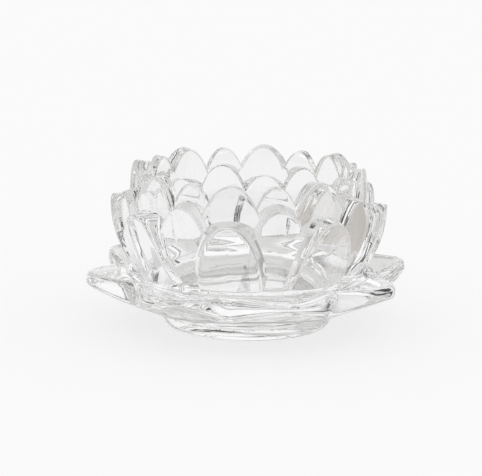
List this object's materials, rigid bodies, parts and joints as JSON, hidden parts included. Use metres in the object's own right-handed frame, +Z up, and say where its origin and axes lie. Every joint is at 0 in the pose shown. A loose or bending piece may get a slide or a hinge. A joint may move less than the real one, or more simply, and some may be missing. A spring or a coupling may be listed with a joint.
{
  "type": "lotus candle holder",
  "caption": "Clear glass lotus candle holder: rings of rounded upright petals form an open bowl for a tealight, standing on a petalled saucer with a low round foot.",
  "frame": {"origin": "centre of the foot's underside, on the surface that the holder stands on", "axes": "+Z up along the bowl's axis; -Y through the middle of the first saucer petal, +X to its right"},
  "size_m": [0.12, 0.12, 0.0585],
  "materials": {
    "clear_glass": "fire-polished clear pressed glass, smooth and glossy, very slightly wavy"
  },
  "bodies": {
    "root": {"foot": "clear_glass", "saucer_plate": "clear_glass", "candle_cup": "clear_glass", "saucer_petal_1": "clear_glass", "saucer_petal_2": "clear_glass", "saucer_petal_3": "clear_glass", "saucer_petal_4": "clear_glass", "saucer_petal_5": "clear_glass", "saucer_petal_6": "clear_glass", "saucer_petal_7": "clear_glass", "saucer_petal_8": "clear_glass", "outer_petal_1": "clear_glass", "outer_petal_2": "clear_glass", "outer_petal_3": "clear_glass", "outer_petal_4": "clear_glass", "outer_petal_5": "clear_glass", "outer_petal_6": "clear_glass", "outer_petal_7": "clear_glass", "outer_petal_8": "clear_glass", "second_petal_1": "clear_glass", "second_petal_2": "clear_glass", "second_petal_3": "clear_glass", "second_petal_4": "clear_glass", "second_petal_5": "clear_glass", "second_petal_6": "clear_glass", "second_petal_7": "clear_glass", "second_petal_8": "clear_glass", "third_petal_1": "clear_glass", "third_petal_2": "clear_glass", "third_petal_3": "clear_glass", "third_petal_4": "clear_glass", "third_petal_5": "clear_glass", "third_petal_6": "clear_glass", "third_petal_7": "clear_glass", "third_petal_8": "clear_glass", "inner_petal_1": "clear_glass", "inner_petal_2": "clear_glass", "inner_petal_3": "clear_glass", "inner_petal_4": "clear_glass", "inner_petal_5": "clear_glass", "inner_petal_6": "clear_glass", "inner_petal_7": "clear_glass", "inner_petal_8": "clear_glass"}
  },
  "joints": []
}
